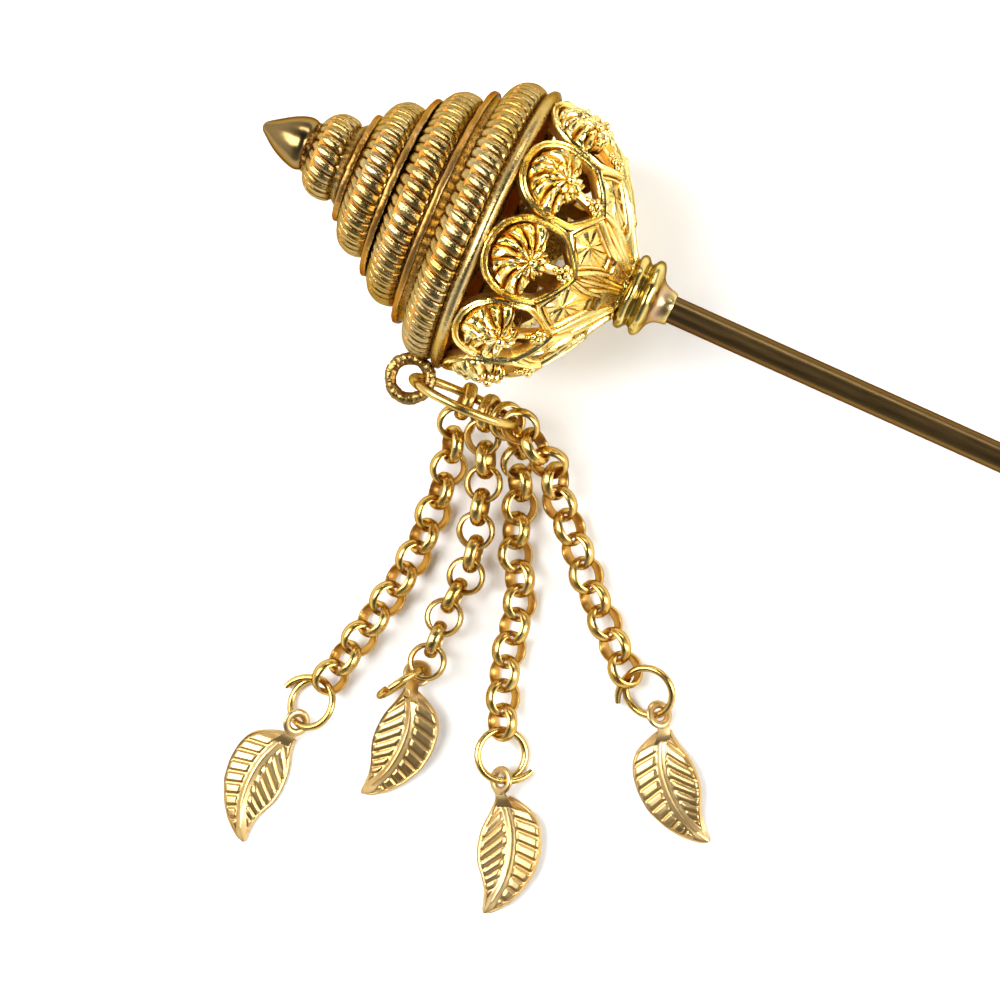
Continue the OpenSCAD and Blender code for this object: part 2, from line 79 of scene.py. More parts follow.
def smooth_curve(points, steps, closed=False):
    """A smooth line through points of any dimension."""
    points = [Vector(p) for p in points]
    n = len(points)
    line = []
    for i in range(n if closed else n - 1):
        if closed:
            p0, p1, p2, p3 = (points[(i + d) % n] for d in (-1, 0, 1, 2))
        else:
            p0, p1, p2, p3 = (points[min(max(i + d, 0), n - 1)] for d in (-1, 0, 1, 2))
        for s in range(steps):
            t = s / steps
            line.append(0.5 * (2 * p1 + (p2 - p0) * t + (2 * p0 - 5 * p1 + 4 * p2 - p3) * t * t
                               + (3 * p1 - p0 - 3 * p2 + p3) * t * t * t))
    return line if closed else line + [points[-1]]


def new_work():
    """An empty mesh whose points can carry a share, from 0 to 1, of their finish's deep colour. Mostly this
    is painted shade in grooves; on the collar and the bud's solder it is the solder's own colour.
    """
    bm = bmesh.new()
    bm.verts.layers.float.new("recess")
    return bm


def drawn_sheet(bm, columns, rows, place, seal=True):
    """A grid whose points go where place(column, row) says; it also says how much painted shade, in the deep
    colour, lies there.
    """
    depth = bm.verts.layers.float["recess"]
    verts = bmesh.ops.create_grid(bm, x_segments=columns, y_segments=rows, size=0.5)["verts"]
    for vert in verts:
        spot = place(round((vert.co.x + 0.5) * columns), round((vert.co.y + 0.5) * rows))
        vert.co, vert[depth] = spot
    faces = list({face for vert in verts for face in vert.link_faces})
    bmesh.ops.remove_doubles(bm, verts=verts, dist=0.002)
    faces = [face for face in faces if face.is_valid]
    if seal:
        edges = list({edge for face in faces for edge in face.edges if edge.is_boundary})
        if edges:
            faces += bmesh.ops.holes_fill(bm, edges=edges, sides=0)["faces"]
    bmesh.ops.recalc_face_normals(bm, faces=faces)
    return faces


def points_of(faces):
    return list({vert for face in faces for vert in face.verts})


def swept(bm, stations, section, closed=False):
    """A bar or ring of one section. A station is its middle, side and up, and may end with a size. A point of
    the section may end with its share of painted shade.
    """
    n, m = len(stations), len(section)

    def place(i, j):
        middle, side, up, *size = stations[i % n]
        across, height, *depth = section[j % m]
        size = size[0] if size else 1.0
        return middle + (side * across + up * height) * size, (depth[0] if depth else 0.0)
    return drawn_sheet(bm, n if closed else n - 1, m, place)


def stations_on(points, up_at, closed=False, size_at=None):
    """Stations along points; up_at(i) is the up direction there."""
    n = len(points)
    stations = []
    for i, point in enumerate(points):
        before = points[(i - 1) % n] if closed else points[max(i - 1, 0)]
        after = points[(i + 1) % n] if closed else points[min(i + 1, n - 1)]
        along = (after - before).normalized()
        up = up_at(i).normalized()
        side = along.cross(up).normalized()
        up = side.cross(along).normalized()
        stations.append((point, side, up, size_at(i) if size_at else 1.0))
    return stations


def round_section(r, count):
    return [(r * cos(2 * pi * j / count), r * sin(2 * pi * j / count)) for j in range(count)]


def turned(bm, profile, steps):
    """A solid of revolution round Z through radius and height."""
    verts = [bm.verts.new((r, 0, z)) for r, z in profile]
    edges = [bm.edges.new(pair) for pair in zip(verts, verts[1:])]
    bmesh.ops.spin(bm, geom=verts + edges, cent=(0, 0, 0), axis=(0, 0, 1), angle=2 * pi,
                   steps=steps, use_merge=True)
    bmesh.ops.remove_doubles(bm, verts=bm.verts, dist=0.002)
    bmesh.ops.recalc_face_normals(bm, faces=bm.faces)


def roughen(bm, size, depth, seed):
    """Moves points along their normals by a fixed unevenness of a size and depth in mm."""
    bm.normal_update()
    shift = Vector((seed * 7.3, seed * 3.1, seed * 5.7))
    for vert in bm.verts:
        vert.co += vert.normal * depth * noise.noise(vert.co / size + shift)


def granule(bm, middle, r):
    for vert in bmesh.ops.create_icosphere(bm, subdivisions=2, radius=r)["verts"]:
        vert.co = middle + vert.co * (1 + 0.1 * noise.noise(vert.co * 3 + middle))


def finished(name, bm, place, material, node, sharp=42.0):
    """Puts the work in the part's frame, in metres, as the piece that stands for a node.
    Nothing dips into the floor."""
    bm.transform(Matrix.Scale(MM, 4) @ place)
    for vert in bm.verts:
        vert.co.z = max(vert.co.z, 0.0)
    mesh = bpy.data.meshes.new(name)
    bm.to_mesh(mesh)
    bm.free()
    mesh.shade_smooth()
    mesh.set_sharp_from_angle(angle=radians(sharp))
    mesh.materials.append(material)
    piece = bpy.data.objects.new(name, mesh)
    bpy.context.scene.collection.objects.link(piece)
    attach(piece, "root")
    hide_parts(node)
    return piece


# ---------------------------------------------------------------- finishes

def colour(code):
    """A linear colour from an sRGB hex value."""
    parts = [int(code[i:i + 2], 16) / 255 for i in (1, 3, 5)]
    return (*[c / 12.92 if c <= 0.04045 else ((c + 0.055) / 1.055) ** 2.4 for c in parts], 1.0)


def add_node(tree, kind, inputs=None, **settings):
    """Adds a node with its settings; an input is a value or another node's output."""
    made = tree.nodes.new("ShaderNode" + kind)
    for key, value in settings.items():
        setattr(made, key, value)
    for key, value in (inputs or {}).items():
        if isinstance(value, bpy.types.NodeSocket):
            tree.links.new(value, made.inputs[key])
        else:
            made.inputs[key].default_value = value
    return made


# Painted shade: a brown tint on the grazing reflections darkens the plate where it turns away towards the
# silhouette
SILHOUETTE_SHADE_TONE = "#8E7450"


def gold_plate(name, light, warm, deep, smoothest, roughest, grain_mm, grain_height_mm,
               patch_mm=5.0, speck=0.0, lengthwise=1.0, deep_share=0.85, dull=0.42,
               metal=1.0):
    """Gold plate over cast or drawn brass: light and warm patches, and the deep colour where the recess share
    says: painted shade in grooves, real solder colour on the collar.
    """
    material = bpy.data.materials.new(name)
    material.use_nodes = True
    tree = material.node_tree
    tree.nodes.clear()
    where = add_node(tree, "TexCoord").outputs["Object"]
    if lengthwise != 1.0:
        where = add_node(tree, "Mapping", {"Vector": where, "Rotation": (0, radians(-TILT), 0),
                                           "Scale": (1 / lengthwise, 1, 1)}).outputs[0]
    patches = add_node(tree, "TexNoise", {"Vector": where, "Scale": 1000 / patch_mm,
                                          "Detail": 3.0}).outputs[0]
    patches = add_node(tree, "MapRange", {"Value": patches, "From Min": 0.35, "From Max": 0.68}).outputs[0]
    grain = add_node(tree, "TexNoise", {"Vector": where, "Scale": 1000 / grain_mm, "Detail": 4.0,
                                        "Roughness": 0.6}).outputs[0]
    # Painted shade: the recess share mixes in the deep colour and dulls the surface; on the collar and the
    # solder it marks real solder
    groove = add_node(tree, "Attribute", attribute_name="recess").outputs["Fac"]
    groove = add_node(tree, "Math", {0: groove, 1: deep_share}, operation="MULTIPLY",
                      use_clamp=True).outputs[0]
    plate = add_node(tree, "Mix", {0: patches, 6: colour(light), 7: colour(warm)},
                     data_type="RGBA").outputs[2]
    plate = add_node(tree, "Mix", {0: groove, 6: plate, 7: colour(deep)}, data_type="RGBA").outputs[2]
    gloss = add_node(tree, "MapRange", {"Value": grain, "From Min": 0.3, "From Max": 0.7, "To Min": smoothest,
                                        "To Max": roughest}).outputs[0]
    gloss = add_node(tree, "Mix", {"Factor": groove, "A": gloss, "B": dull}).outputs[0]
    height = grain
    if speck:
        pits = add_node(tree, "TexVoronoi", {"Vector": where, "Scale": 1000 / 0.9}).outputs["Distance"]
        pits = add_node(tree, "MapRange", {"Value": pits, "From Min": 0.0, "From Max": 0.22,
                                           "To Min": speck, "To Max": 0.0}).outputs[0]
        height = add_node(tree, "Math", {0: grain, 1: pits}, operation="SUBTRACT").outputs[0]
    bump = add_node(tree, "Bump", {"Height": height, "Strength": 1.0,
                                   "Distance": grain_height_mm * MM}).outputs[0]
    shader = add_node(tree, "BsdfPrincipled", {"Base Color": plate, "Metallic": metal, "Roughness": gloss,
                                               "Specular Tint": colour(SILHOUETTE_SHADE_TONE), "Normal": bump}).outputs[0]
    add_node(tree, "OutputMaterial", {"Surface": shader})
    return material


# Smooth polished plate of the bud: soft wide reflections
polished_plate = gold_plate("polished_gold_plate", "#987E54", "#887046", "#7A4A14", 0.18, 0.26, 1.6, 0.01)
# Plated casting of the rope bands: sharp sparks on the ribs, brown-orange painted shade in the grooves,
# slight casting ripple
cast_plate = gold_plate("plated_casting", "#BFAA78", "#AF904B", "#9A5E16", 0.15, 0.27, 0.42, 0.06, speck=0.3,
                        dull=0.36)
# Plated outside of the cone, its steps and fins: rougher and deeper in colour
cone_plate = gold_plate("plated_cone", "#C4AE7A", "#B69656", "#AA6E20", 0.2, 0.32, 0.45, 0.04, speck=0.4,
                        dull=0.4)
# Unpolished inside of the cone: its bright orange colour and part-matt finish are painted light, standing in
# for light bouncing about in the gold hollow
inside_plate_painted_bounce = gold_plate("unpolished_inside_painted_bounce_light", "#F6A848", "#EE9638", "#DC7C24", 0.5, 0.62, 0.6, 0.06,
                          metal=0.4)
# Brightest plate, on the pierced cup: fine casting grain that breaks up the reflections, and orange painted
# shade in the grooves and on the foot behind the panels
cup_plate = gold_plate("bright_plated_casting", "#FAE49A", "#F0D47C", "#EBAC50", 0.12, 0.22, 0.35, 0.04,
                       speck=0.25, dull=0.42)
# Drawn brass rod with a thin brown-gold plate: long streaks and few pin pits
rod_plate = gold_plate("brown_gold_rod", "#765F38", "#685234", "#583A16", 0.29, 0.37, 0.6, 0.006,
                       speck=0.15, lengthwise=18.0)
# Turned collar with a pinkish tint where it was soldered, which the groove colour carries
collar_plate = gold_plate("soldered_collar_plate", "#DAC880", "#C8AE66", "#AA8676", 0.16, 0.28, 0.5, 0.03)
# Hand-bent rough loop: hammered wire
loop_plate = gold_plate("hammered_loop_plate", "#A08452", "#8E723E", "#8A5418", 0.2, 0.34, 0.4, 0.07,
                        speck=0.5)
# Barrel-plated chain: warm gold, softly polished, with orange painted shade on the links' inner faces
chain_plate = gold_plate("warm_gold_chain_plate", "#D6B66E", "#CCA454", "#BE8034", 0.2, 0.3, 0.9, 0.012)
# Stamped leaf sheet: pale satin plate, with painted shade between the vein bars
leaf_plate = gold_plate("satin_gold_leaf_plate", "#CEB27E", "#C4A268", "#A67E3C", 0.3, 0.38, 0.6, 0.008)


# ---------------------------------------------------------------- cone, bands, finial

# middle along the cone, radius, fin along the cone, its radius, ribs
TIERS = [(0.887, 0.147, 0.756, 0.381, 22), (0.620, 0.394, 0.525, 0.638, 43),
         (0.389, 0.609, 0.290, 0.838, 57), (0.127, 0.834, None, None, 69)]
ARC_START, ARC_END = -20, 130
ARC_MIDDLE = radians((ARC_START + ARC_END) / 2)
GROOVE = 0.42


def on_band(k, turn, r=ROPE_R):
    turn = radians(turn)
    return RIM_R * TIERS[k][1] + r * sin(turn), CUP_DEPTH + CONE_DEPTH * TIERS[k][0] + r * cos(turn)


def under_band(k, turn, depth):
    r, z = on_band(k, turn)
    return r - depth * sin(ARC_MIDDLE), z - depth * cos(ARC_MIDDLE)


def rope_band(k):
    """A ring of slanting rounded ribs with a fine line down each rib."""
    ribs = TIERS[k][4]
    per_rib, rows, back = 12, 18, 2
    bm = new_work()

    def place(i, j):
        share = min(j / rows, 1.0)
        phase = i / per_rib % 1
        rib = int(i / per_rib) % ribs
        uneven = 0.5 + 0.5 * noise.noise(Vector((rib * 1.7, k * 5.0, 0.3)))
        crest = sqrt(max(0.0, 1 - (2 * phase - 1) ** 2))
        fine = 0.22 * max(0.0, 1 - abs(phase - 0.68) / 0.09)
        ends = sqrt(ramp(share / 0.09)) * sqrt(ramp((1 - share) / mix(0.07, 0.12, uneven)))
        height = (crest - fine) * ends * mix(0.88, 1.0, uneven)
        turn = radians(360 * i / (per_rib * ribs) - 360 / ribs * share)
        r = ROPE_R - GROOVE * (1 - height) + 0.03 * noise.noise(Vector((i * 0.3, j * 0.35, k * 9)))
        if j > rows:
            p = Vector(under_band(k, mix(ARC_END, ARC_START, (j - rows) / back), GROOVE))
        else:
            p = Vector(on_band(k, mix(ARC_START, ARC_END, share), r))
        # The second value is painted shade: in the grooves between the ribs and in the fine line, fading out
        # at the band's ends
        return Vector((p.x * cos(turn), p.x * sin(turn), p.y)), (1 - crest + fine) * 0.8 * ends
    drawn_sheet(bm, ribs * per_rib, rows + back, place)
    return bm


def head_cone():
    """The stepped wall with its thin uneven fins and the smooth lip."""
    outside = [(0, CUP_DEPTH + CONE_DEPTH), (on_band(0, ARC_START, ROPE_R - 0.4)[0], CUP_DEPTH + CONE_DEPTH)]
    crests = []
    for k in range(4):
        outside += [on_band(k, t, ROPE_R - 0.5) for t in (ARC_START, 20, 60, 100, ARC_END - 8)]
        if k < 3:
            z, r = CUP_DEPTH + CONE_DEPTH * TIERS[k][2], RIM_R * TIERS[k][3]
            crests.append((r, z))
            foot = on_band(k, ARC_END - 3, ROPE_R - 0.3)
            after = on_band(k + 1, ARC_START, ROPE_R - 0.3)
            outside += [tuple(p) for p in smooth_curve([
                foot, (mix(foot[0], r, 0.35), mix(foot[1], z + 0.4, 0.72)), (r - 0.45, z + 0.4),
                (r - 0.1, z + 0.34), (r, z + 0.12), (r - 0.02, z - 0.2), (r - 0.14, z - 0.36),
                (mix(r, after[0], 0.6), z - 0.42), after], 3)]
    foot = on_band(3, ARC_END - 3, ROPE_R - 0.35)
    outside += [foot, (15.35, 16.9), (15.62, 16.72), (15.88, 16.5), (16.0, 16.2), (16.0, 15.95),
                (15.93, 15.8), (15.5, 15.5), (15.3, 15.42), (15.05, 15.42), (14.95, 15.5), (14.9, 15.9)]
    bm = new_work()
    turned(bm, outside + [inside_line()[0]], 200)
    depth = bm.verts.layers.float["recess"]
    for vert in bm.verts:
        r, z, turn = hypot(vert.co.x, vert.co.y), vert.co.z, atan2(vert.co.y, vert.co.x)
        near = min(hypot(r - cr, (z - cz)) for cr, cz in crests)
        wave = noise.noise(Vector((cos(turn) * 6, sin(turn) * 6, z * 0.4)))
        ripple = noise.noise(Vector((cos(turn) * 22, sin(turn) * 22, z)))
        hold = ramp(1 - near / 0.9)
        vert.co.z += hold * (0.09 * wave + 0.06 * ripple)
        vert.co.x += cos(turn) * hold * 0.08 * ripple
        vert.co.y += sin(turn) * hold * 0.08 * ripple
        # Above the lip the wall takes a little of the deep colour; the fins' outer edges on the finial's side
        # take most of it, darker orange-brown and duller, with a slight ripple
        if z > 16.6:
            cr, cz = min(crests, key=lambda c: hypot(r - c[0], z - c[1]))
            edge = ramp((r - cr + 0.3) / 0.15) * ramp((z - cz + 0.24) / 0.12) * hold
            vert[depth] = mix(0.05, 0.9, edge)
            vert.co.z += 0.07 * edge * noise.noise(vert.co / 0.3)
    return bm


def inside_line():
    inside = []
    for k in (3, 2, 1, 0):
        inside += [under_band(k, ARC_END, SEAT_GAP + CONE_WALL),
                   under_band(k, 55, SEAT_GAP + CONE_WALL - 0.9),
                   under_band(k, ARC_START, SEAT_GAP + CONE_WALL)]
    return [tuple(p) for p in smooth_curve(inside, 3)]


def cone_inside():
    """The hollow's wall, as it was cast."""
    bm = new_work()
    line = inside_line()
    turned(bm, line + [(0, line[-1][1])], 120)
    bmesh.ops.reverse_faces(bm, faces=bm.faces)
    roughen(bm, 2.0, 0.15, 11)
    return bm


def finial():
    """The pointed bud, a little uneven as it was cast, with its rounded foot."""
    z0 = CUP_DEPTH + CONE_DEPTH + SEAT_GAP
    outline = smooth_curve([(2.0, 0.0), (2.35, 0.06), (2.72, 0.32), (2.93, 0.85), (2.86, 1.55), (2.5, 2.5),
                            (1.98, 3.5), (1.36, 4.5), (0.86, 5.2), (0.48, 5.66), (0.0, 5.86)], 5)
    bm = new_work()
    turned(bm, [(0, z0 + 0.02)] + [(p.x, z0 + p.y) for p in outline], 72)
    roughen(bm, 3.0, 0.12, 4)
    return bm


def solder_rubble():
    """The lumpy solder between the bud's foot and the first band."""
    bm = new_work()
    z0 = CUP_DEPTH + CONE_DEPTH
    ring = [Vector((2.05 * cos(a), 2.05 * sin(a), z0 - 0.12)) for a in (2 * pi * i / 90 for i in range(90))]
    swept(bm, stations_on(ring, lambda i: UP, True), round_section(0.62, 14), True)
    roughen(bm, 0.55, 0.5, 2)
    roughen(bm, 0.28, 0.22, 5)
    for vert in bm.verts:
        vert[bm.verts.layers.float["recess"]] = 0.5 + 0.5 * noise.noise(vert.co * 1.8)
    return bm


# ---------------------------------------------------------------- lotus cup

CUP_PROFILE = [(0.071, 0.200), (0.109, 0.244), (0.180, 0.362), (0.276, 0.531), (0.391, 0.694),
               (0.526, 0.806), (0.647, 0.869), (0.808, 0.912), (0.981, 0.950)]
PETALS = 10
HALF_STEP = 180 / PETALS
PETAL = [(0.00, 0.975), (0.36, 0.955), (0.66, 0.895), (0.87, 0.785), (0.905, 0.610),
         (0.800, 0.535), (0.400, 0.450), (0.00, 0.400)]
PANEL_TOP, PANEL_SIDE, PANEL_FOOT, PANEL_REACH = 0.545, 0.395, 0.185, 0.97
FLOWER_AT, FLORET_AT = 0.690, 0.462
FIRST_PETAL = -10.2
FLOWER_PETALS = 15
BELOW = 0.7

cup_line = smooth_curve(CUP_PROFILE, 10)
cup_shares = [p.x for p in cup_line]
cup_arcs = [0.0]
for here, there in zip(cup_line, cup_line[1:]):
    cup_arcs.append(cup_arcs[-1] + hypot((there.x - here.x) * CUP_DEPTH, (there.y - here.y) * RIM_R))


def cup_radius(share):
    return RIM_R * looked_up(share, cup_shares, [p.y for p in cup_line])


def cup_slope(share):
    return atan2(cup_radius(share + 0.03) - cup_radius(share - 0.03), 0.06 * CUP_DEPTH)


def cup_point(turn, share, lift=0.0):
    slope, turn = cup_slope(share), radians(turn)
    r = cup_radius(share) + lift * cos(slope)
    return Vector((r * cos(turn), r * sin(turn), CUP_DEPTH * share - lift * sin(slope)))


def beside_flower(x, y, lift):
    """A point on the cup by its distances in mm from the flower's middle."""
    share = looked_up(looked_up(FLOWER_AT, cup_shares, cup_arcs) + y, cup_arcs, cup_shares)
    return cup_point(degrees(x / cup_radius(share)), share, lift)


def cup_bead(bm, loop, section, closed=True, centre=0.0):
    """A moulding that follows turns and heights on the cup."""
    points = [cup_point(centre + turn, share) for turn, share in loop]
    ups = [cup_point(centre + turn, share, 1) - point for (turn, share), point in zip(loop, points)]
    swept(bm, stations_on(points, lambda i: ups[i], closed), section, closed)


# Mouldings: distance across, height, share of painted shade in the groove
DOUBLE_RIDGE = [(-0.46, -BELOW, 0.8), (-0.44, 0.1, 0.5), (-0.38, 0.44, 0), (-0.24, 0.56, 0),
                (-0.1, 0.42, 0.1), (0.0, 0.26, 0.5), (0.1, 0.32, 0.2), (0.2, 0.42, 0), (0.3, 0.34, 0),
                (0.36, 0.05, 0.5), (0.4, -BELOW, 0.8)]
SINGLE_RIDGE = [(-0.3, -0.4, 0.5), (-0.26, 0.12, 0.2), (-0.1, 0.3, 0), (0.1, 0.3, 0), (0.26, 0.12, 0.2),
                (0.3, -0.4, 0.5)]


def flower(bm):
    """Ruffled petals that fan from a bead to the frame at the head and stop short of the openings
    at the foot."""
    per = 8
    spokes = FLOWER_PETALS * per
    # radius as a share, height on a crest, height in a valley
    rings = [(0.0, 0.3, 0.3), (0.16, 0.4, 0.2), (0.27, 0.7, 0.1), (0.37, 0.95, 0.05), (0.46, 1.05, 0.0),
             (0.55, 1.02, -0.05), (0.64, 0.95, -0.05), (0.72, 0.92, -0.1), (0.8, 0.8, -0.1),
             (0.88, 0.68, -0.1), (0.94, 0.5, -0.15), (0.98, 0.25, -0.2), (1.0, -0.1, -0.3),
             (1.0, -BELOW, -BELOW), (0.0, -BELOW, -BELOW)]

    def place(i, j):
        share, high, low = rings[j]
        phase = i / per % 1
        petal_no = int(i / per) % FLOWER_PETALS
        taller = noise.noise(Vector((petal_no * 2.3, 0.7, 0.2)))
        aside = noise.noise(Vector((petal_no * 1.9, 5.1, 2.2)))
        crest = sqrt(max(0.0, 1 - (2 * phase ** (1 + 0.5 * aside) - 1) ** 2))
        turn = 2 * pi * (i + per * 0.5 * aside * sin(pi * share)) / spokes + 0.3 * share * share
        foot = ramp((-sin(turn) - 0.02) / 0.45)
        ruffle = noise.noise(Vector((petal_no * 3.1 + phase * 2, share * 8, 1.4)))
        r = mix(3.9, 2.0, foot) * share * (1 + 0.06 * taller * (share > 0.9))
        raised = high * (1 + 0.35 * taller) * mix(1.0, 0.8, foot) + 0.6 * ruffle
        lift = mix(low, raised, crest) if low > -BELOW else low
        # Painted shade in the valleys between the petals
        groove = (1 - crest) * (0.8 if 0.15 < share < 1 else 0.5)
        return beside_flower(r * cos(turn), r * sin(turn), lift), groove
    drawn_sheet(bm, spokes, len(rings) - 1, place)
    # Shorter inner petals round the bead
    small = 9
    inner = [(0.0, 0.9, 0.9), (0.3, 1.05, 0.85), (0.66, 1.3, 0.7), (0.9, 1.15, 0.5), (1.0, 0.6, 0.3),
             (0.0, 0.3, 0.3)]

    def place_inner(i, j):
        share, high, low = inner[j]
        phase = i / 6 % 1
        uneven = noise.noise(Vector((int(i / 6) % small * 2.9, 1.3, 7.7)))
        crest = sqrt(max(0.0, 1 - (2 * phase - 1) ** 2))
        turn = 2 * pi * i / (small * 6)
        r = 1.5 * share * mix(0.75, 1, crest) * (1 + 0.3 * uneven)
        lift = mix(low, high * (1 + 0.2 * uneven), crest)
        return beside_flower(r * cos(turn), r * sin(turn), lift), 0.8 * (1 - crest)
    drawn_sheet(bm, small * 6, len(inner) - 1, place_inner)
    granule(bm, beside_flower(0, -0.15, 1.3), 0.5)


def floret(bm):
    """A cluster of granules on a short stem between the two openings."""
    far = looked_up(FLORET_AT, cup_shares, cup_arcs) - looked_up(FLOWER_AT, cup_shares, cup_arcs)
    stem = [beside_flower(0, mix(-1.6, far - 1.3, i / 6), 0) for i in range(7)]
    ups = [beside_flower(0, mix(-1.6, far - 1.3, i / 6), 1) - p for i, p in enumerate(stem)]
    # The stem's sides carry painted shade
    swept(bm, stations_on(stem, lambda i: ups[i]), [(-0.5, -0.6, 0.7), (-0.42, 0.05, 0.4), (0, 0.2, 0.1),
                                                   (0.42, 0.05, 0.4), (0.5, -0.6, 0.7)])
    for i in range(6):
        turn = radians(60 * i + 12)
        granule(bm, beside_flower(0.66 * cos(turn), far + 0.62 * sin(turn), 0.3), 0.36)
    granule(bm, beside_flower(0, far, 0.68), 0.42)
    granule(bm, beside_flower(0.1, far + 1.15, 0.25), 0.3)


def petal_frame(bm):
    half = smooth_curve(PETAL, 6)
    loop = half + [Vector((-p.x, p.y)) for p in reversed(half[1:-1])]
    cup_bead(bm, [(p.x * HALF_STEP, p.y) for p in loop], DOUBLE_RIDGE)


def starburst_panel(bm):
    """A flat pane with sharp engraved rays inside a double border."""
    corners = [(0, PANEL_TOP), (PANEL_REACH * HALF_STEP, PANEL_SIDE),
               (PANEL_REACH * HALF_STEP * 0.46, PANEL_FOOT),
               (-PANEL_REACH * HALF_STEP * 0.46, PANEL_FOOT), (-PANEL_REACH * HALF_STEP, PANEL_SIDE)]
    middle = 0.375

    def drawn_in(share, per_side=6):
        loop = []
        for (t0, s0), (t1, s1) in zip(corners, corners[1:] + corners[:1]):
            loop += [(mix(t0, t1, i / per_side) * share, mix(middle, mix(s0, s1, i / per_side), share))
                     for i in range(per_side)]
        return loop
    # The borders' third values are painted shade in their grooves
    cup_bead(bm, drawn_in(0.88), [(-0.42, -BELOW, 0.5), (-0.4, 0.2, 0.2), (-0.24, 0.42, 0), (-0.02, 0.44, 0),
                                  (0.14, 0.3, 0.2), (0.22, -0.1, 0.7), (0.2, -BELOW, 0.7)], centre=HALF_STEP)
    cup_bead(bm, drawn_in(0.7), [(-0.2, -BELOW, 0.6), (-0.16, 0.08, 0.3), (0.0, 0.2, 0), (0.14, 0.08, 0.3),
                                 (0.18, -BELOW, 0.6)], centre=HALF_STEP)
    # radius as a share, height on a ray, height between rays
    rings = [(0.0, 0.06, 0.06), (0.12, 0.08, -0.1), (0.6, 0.06, -0.16), (0.7, -0.16, -0.2),
             (0.7, -BELOW, -BELOW), (0.0, -BELOW, -BELOW)]
    edge = drawn_in(1.0, 8)

    def place(i, j):
        share, high, low = rings[j]
        turn, height = edge[i % len(edge)]
        ray = i % 4 == 0
        lift = high if ray else low
        # Painted shade between the rays
        return cup_point(HALF_STEP + turn * share, mix(middle, height, share), lift), 0.0 if ray else 0.35
    drawn_sheet(bm, len(edge), len(rings) - 1, place)


def lotus_cup():
    bm = new_work()
    petal_frame(bm)
    flower(bm)
    floret(bm)
    starburst_panel(bm)
    # Long mouldings that run from the petal's tip to the collar
    for turn in (-0.34, 0.0, 0.34):
        ends = ((turn * HALF_STEP, 0.36 - abs(turn) * 0.12), (turn * HALF_STEP * 0.8, 0.09))
        loop = [(mix(ends[0][0], ends[1][0], i / 8), mix(ends[0][1], ends[1][1], i / 8)) for i in range(9)]
        cup_bead(bm, loop, SINGLE_RIDGE, closed=False)
    bmesh.ops.spin(bm, geom=bm.verts[:] + bm.edges[:] + bm.faces[:], cent=(0, 0, 0), axis=(0, 0, 1),
                   angle=radians(360 - 2 * HALF_STEP), steps=PETALS - 1, use_duplicate=True)
    # The closed foot behind the panels
    shares = [mix(0.071, 0.40, i / 12) for i in range(13)]
    section = [(s, -0.12) for s in shares] + [(s, -BELOW - 0.2) for s in reversed(shares)]

    def place(i, j):
        share, lift = section[j % len(section)]
        # Painted shade over the whole foot
        return cup_point(360 * i / 120, share, lift), 0.45
    drawn_sheet(bm, 120, len(section), place)
    roughen(bm, 0.7, 0.05, 8)
    bmesh.ops.rotate(bm, cent=(0, 0, 0), matrix=Matrix.Rotation(radians(FIRST_PETAL), 3, "Z"), verts=bm.verts)
    return bm


# ---------------------------------------------------------------- collar and stick

def collar():
    bore = STICK_R + SEAT_GAP
    top = CUP_PROFILE[0][0] * CUP_DEPTH - SEAT_GAP
    outline = smooth_curve([(2.9, top), (3.15, 1.02), (3.55, 0.95), (4.0, 0.72), (4.18, 0.4), (4.05, 0.02),
                            (3.62, -0.3), (3.5, -0.48), (3.68, -0.72), (4.12, -1.05), (4.25, -1.4),
                            (4.08, -1.78), (3.5, -2.12), (2.75, -2.36), (2.25, -2.75), (1.92, -3.3),
                            (1.76, -4.0), (1.66, -4.25)], 5)
    bm = new_work()
    turned(bm, [(bore, top)] + [tuple(p) for p in outline] + [(bore, -4.25), (bore, top)], 96)
    depth = bm.verts.layers.float["recess"]
    for vert in bm.verts:
        solder = ramp((-vert.co.z - 1.7) / 0.9) * ramp((vert.co.z + 4.4) / 1.2)
        vert[depth] = solder * (0.75 + 0.35 * noise.noise(vert.co * 1.1))
    roughen(bm, 1.4, 0.14, 3)
    return bm


def solder_bead():
    """Uneven solder where the cup's foot meets the collar."""
    bm = new_work()
    ring = [Vector((3.15 * cos(a), 3.15 * sin(a), 1.25)) for a in (2 * pi * i / 80 for i in range(80))]
    swept(bm, stations_on(ring, lambda i: UP, True), round_section(0.34, 12), True)
    roughen(bm, 0.7, 0.3, 6)
    return bm


def stick():
    top = CUP_PROFILE[0][0] * CUP_DEPTH + 1.2
    end = [(0.4 + 1.1 * cos(radians(t)), -STICK_LEN + 1.1 - 1.1 * sin(radians(t))) for t in range(0, 91, 10)]
    bm = new_work()
    heights = [top - 0.3 - i * (STICK_LEN + top - 1.4) / 60 for i in range(60)]
    profile = [(0, top), (STICK_R - 0.3, top)] + [(STICK_R, z) for z in heights] + end + [(0, -STICK_LEN)]
    turned(bm, profile, 48)
    return bm


# ---------------------------------------------------------------- wire and chains

